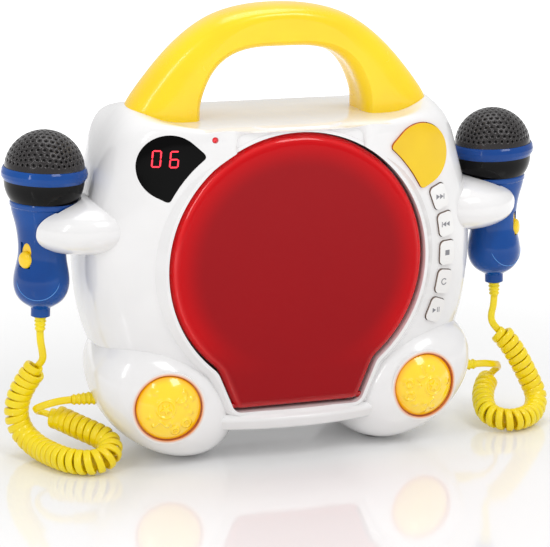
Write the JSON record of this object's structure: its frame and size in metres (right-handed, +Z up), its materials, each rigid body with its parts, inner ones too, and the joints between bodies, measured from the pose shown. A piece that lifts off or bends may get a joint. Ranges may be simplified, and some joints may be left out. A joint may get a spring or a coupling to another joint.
{
  "type": "karaoke machine with disc tray",
  "caption": "Children's karaoke disc player with a front lid over the disc tray, a carrying handle, two round feet with knobs and a microphone on a curly cord in each side arm.",
  "frame": {"origin": "on the floor under the middle of the player, cords not counted", "axes": "+X to the viewer's right, -Y towards the viewer (front), +Z up"},
  "size_m": [0.3121, 0.101, 0.2442],
  "materials": {
    "white_shell": "smooth glossy white ABS",
    "yellow_gloss": "glossy yellow ABS",
    "red_lid": "glossy red",
    "knob_yellow": "glossy yellow",
    "mic_blue": "glossy dark blue",
    "black_gloss": "glossy black",
    "window_dark": "smoked window",
    "grille": "dark pressed metal",
    "button_white": "glossy white",
    "grey_plastic": "matt grey",
    "deck_black": "matt black",
    "rubber": "matt black rubber",
    "steel": "brushed",
    "board": "green circuit board",
    "cord_yellow": "satin yellow jacket",
    "led_red": "clear red",
    "lens": "clear lens"
  },
  "bodies": {
    "chassis": {"front_shell": "white_shell", "back_shell": "white_shell", "left_foot_shell": "white_shell", "right_foot_shell": "white_shell", "handle": "yellow_gloss", "left_arm": "white_shell", "right_arm": "white_shell", "housing_screws": "steel", "foot_pads": "rubber", "left_potentiometer": "grey_plastic", "right_potentiometer": "grey_plastic", "left_cord_gland": "cord_yellow", "right_cord_gland": "cord_yellow", "disc_tray": "deck_black", "display_window": "window_dark", "display_module": "deck_black", "power_led": "led_red", "main_board": "board", "key_board": "board", "speaker": "grey_plastic", "battery_contacts": "steel", "dc_socket": "deck_black", "spindle_motor": "steel", "sled_rails": "steel", "sled_motor": "steel", "left_cord_upper_lead": "cord_yellow", "left_cord_coil": "cord_yellow", "left_cord_lower_lead": "cord_yellow", "right_cord_upper_lead": "cord_yellow", "right_cord_coil": "cord_yellow", "right_cord_lower_lead": "cord_yellow"},
    "lid": {"lid": "red_lid"},
    "open_button": {"open_button": "yellow_gloss"},
    "latch": {"latch": "grey_plastic"},
    "function_button_1": {"function_button_1": "button_white"},
    "function_button_2": {"function_button_2": "button_white"},
    "function_button_3": {"function_button_3": "button_white"},
    "function_button_4": {"function_button_4": "button_white"},
    "function_button_5": {"function_button_5": "button_white"},
    "left_knob": {"left_knob": "knob_yellow"},
    "right_knob": {"right_knob": "knob_yellow"},
    "left_mic": {"left_mic_grille": "grille", "left_mic_ring": "mic_blue", "left_mic_bowl": "black_gloss", "left_mic_front_half": "mic_blue", "left_mic_rear_half": "mic_blue", "left_mic_relief": "cord_yellow"},
    "left_mic_switch": {"left_mic_switch": "yellow_gloss"},
    "right_mic": {"right_mic_grille": "grille", "right_mic_ring": "mic_blue", "right_mic_bowl": "black_gloss", "right_mic_front_half": "mic_blue", "right_mic_rear_half": "mic_blue", "right_mic_relief": "cord_yellow"},
    "right_mic_switch": {"right_mic_switch": "yellow_gloss"},
    "turntable": {"turntable": "grey_plastic"},
    "pickup": {"pickup_sled": "grey_plastic", "pickup_lens": "lens"},
    "sled_gear": {"sled_gear": "grey_plastic"},
    "battery_door": {"battery_door": "white_shell"}
  },
  "joints": [
    {"name": "lid_hinge", "type": "hinge", "parent": "chassis", "child": "lid", "pos_m": [0, -0.0385, 0.0325], "axis": [1, 0, 0], "range_deg": [0, 60]},
    {"name": "open_button_press", "type": "slide", "parent": "chassis", "child": "open_button", "axis": [0, 1, 0], "range_m": [0, 0.0025], "stiffness_N_per_m": 250},
    {"name": "latch_slide", "type": "slide", "parent": "chassis", "child": "latch", "axis": [0.7547, 0, 0.6561], "range_m": [0, 0.0014]},
    {"name": "function_button_1_press", "type": "slide", "parent": "chassis", "child": "function_button_1", "axis": [0, 1, 0], "range_m": [0, 0.0015], "stiffness_N_per_m": 300},
    {"name": "function_button_2_press", "type": "slide", "parent": "chassis", "child": "function_button_2", "axis": [0, 1, 0], "range_m": [0, 0.0015], "stiffness_N_per_m": 300},
    {"name": "function_button_3_press", "type": "slide", "parent": "chassis", "child": "function_button_3", "axis": [0, 1, 0], "range_m": [0, 0.0015], "stiffness_N_per_m": 300},
    {"name": "function_button_4_press", "type": "slide", "parent": "chassis", "child": "function_button_4", "axis": [0, 1, 0], "range_m": [0, 0.0015], "stiffness_N_per_m": 300},
    {"name": "function_button_5_press", "type": "slide", "parent": "chassis", "child": "function_button_5", "axis": [0, 1, 0], "range_m": [0, 0.0015], "stiffness_N_per_m": 300},
    {"name": "left_knob_turn", "type": "hinge", "parent": "chassis", "child": "left_knob", "pos_m": [-0.0675, 0, 0.0358], "axis": [-0.1219, -0.9925, 0], "range_deg": [-150, 150]},
    {"name": "right_knob_turn", "type": "hinge", "parent": "chassis", "child": "right_knob", "pos_m": [0.0675, 0, 0.0358], "axis": [0.1219, -0.9925, 0], "range_deg": [-150, 150]},
    {"name": "left_mic_pull", "type": "slide", "parent": "chassis", "child": "left_mic", "axis": [-1, 0, 0], "range_m": [0, 0.04]},
    {"name": "left_mic_switch_slide", "type": "slide", "parent": "left_mic", "child": "left_mic_switch", "axis": [0.0478, 0, 0.9989], "range_m": [0, 0.005]},
    {"name": "right_mic_pull", "type": "slide", "parent": "chassis", "child": "right_mic", "axis": [1, 0, 0], "range_m": [0, 0.04]},
    {"name": "right_mic_switch_slide", "type": "slide", "parent": "right_mic", "child": "right_mic_switch", "axis": [-0.0478, 0, 0.9989], "range_m": [0, 0.005]},
    {"name": "turntable_spin", "type": "hinge", "parent": "chassis", "child": "turntable", "pos_m": [0, -0.028, 0.109], "axis": [0, -1, 0], "continuous": true},
    {"name": "pickup_slide", "type": "slide", "parent": "chassis", "child": "pickup", "axis": [1, 0, 0], "range_m": [0, 0.031]},
    {"name": "sled_gear_spin", "type": "hinge", "parent": "chassis", "child": "sled_gear", "pos_m": [0.02, -0.0205, 0.086], "axis": [0, 1, 0], "range_deg": [0, 370.1]},
    {"name": "battery_door_hinge", "type": "hinge", "parent": "chassis", "child": "battery_door", "pos_m": [0, 0.0494, 0.0494], "axis": [-1, 0, 0], "range_deg": [0, 90]}
  ],
  "couplings": [
    {"joint": "latch_slide", "follows": "open_button_press", "ratio": 0.56},
    {"joint": "sled_gear_spin", "follows": "pickup_slide", "rad_per_m": 208.33}
  ]
}
